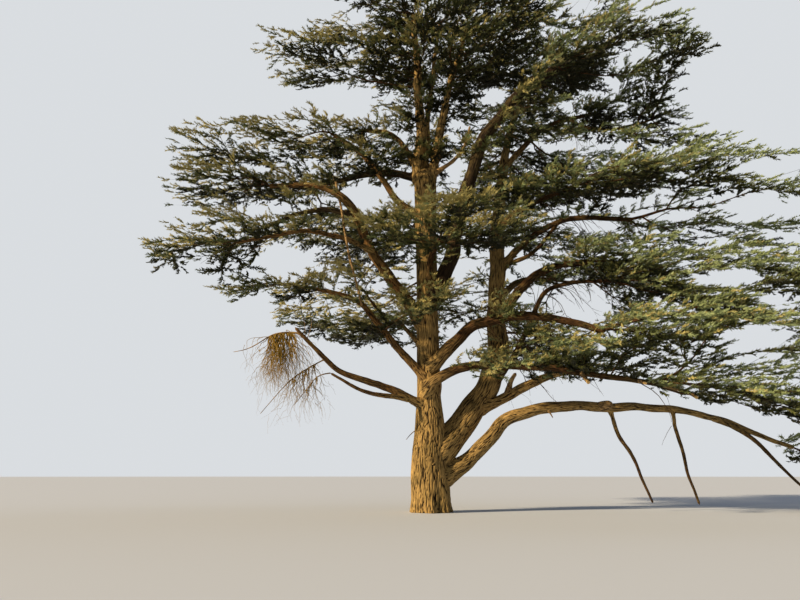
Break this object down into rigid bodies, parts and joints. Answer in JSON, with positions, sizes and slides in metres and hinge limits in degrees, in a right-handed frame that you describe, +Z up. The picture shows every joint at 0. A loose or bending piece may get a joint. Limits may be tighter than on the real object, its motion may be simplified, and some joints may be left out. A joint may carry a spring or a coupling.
{
  "type": "cedar of lebanon tree",
  "caption": "Old spreading cedar: a stout trunk that forks low down, long level boughs and broad flat plates of evergreen foliage, for the scenery of a park or garden.",
  "frame": {"origin": "on the ground at the middle of the trunk's flat cut", "axes": "+Z up, +X to the right and +Y away from the side that the tree is seen from; the longest boughs reach along +X"},
  "size_m": [32.2103, 19.5468, 27.923],
  "materials": {
    "bark": "rough fissured bark",
    "foliage": "dense short needles in flat sprays",
    "dead_twigs": "bare brown twigs"
  },
  "bodies": {
    "root": {"back_right_bough": "bark", "dead_twigs": "dead_twigs", "foliage_back_high": "foliage", "foliage_back_left": "foliage", "foliage_back_low_left": "foliage", "foliage_back_low_right": "foliage", "foliage_back_right": "foliage", "foliage_back_top": "foliage", "foliage_crown_front": "foliage", "foliage_crown_left": "foliage", "foliage_crown_right": "foliage", "foliage_crown_top_left": "foliage", "foliage_crown_top_right": "foliage", "foliage_front": "foliage", "foliage_front_low": "foliage", "foliage_left_lower": "foliage", "foliage_left_second": "foliage", "foliage_left_third": "foliage", "foliage_left_top": "foliage", "foliage_low_right_end": "foliage", "foliage_right_arching": "foliage", "foliage_right_forked": "foliage", "foliage_right_high": "foliage", "foliage_right_lit": "foliage", "foliage_right_long": "foliage", "foliage_right_long_end": "foliage", "foliage_right_low": "foliage", "foliage_right_low_end": "foliage", "foliage_right_middle": "foliage", "foliage_right_spiky": "foliage", "front_bough": "bark", "hanging_branch_inner": "bark", "hanging_branch_outer": "bark", "left_bright_bough": "bark", "left_dark_fork": "bark", "left_high_bough": "bark", "left_leader": "bark", "left_lit_bough": "bark", "left_main_bough": "bark", "left_rising_bough": "bark", "left_upper_bough": "bark", "left_upper_fork": "bark", "low_left_bough": "bark", "low_left_fork": "bark", "low_right_limb": "bark", "low_right_limb_foot": "bark", "middle_leader": "bark", "right_arching_bough": "bark", "right_forked_bough": "bark", "right_high_bough": "bark", "right_leader": "bark", "right_lit_bough": "bark", "right_long_bough": "bark", "right_low_bough": "bark", "right_middle_bough": "bark", "side_low_bough": "bark", "side_trunk": "bark", "side_trunk_foot": "bark", "trunk": "bark", "upper_right_limb": "bark"}
  },
  "joints": []
}
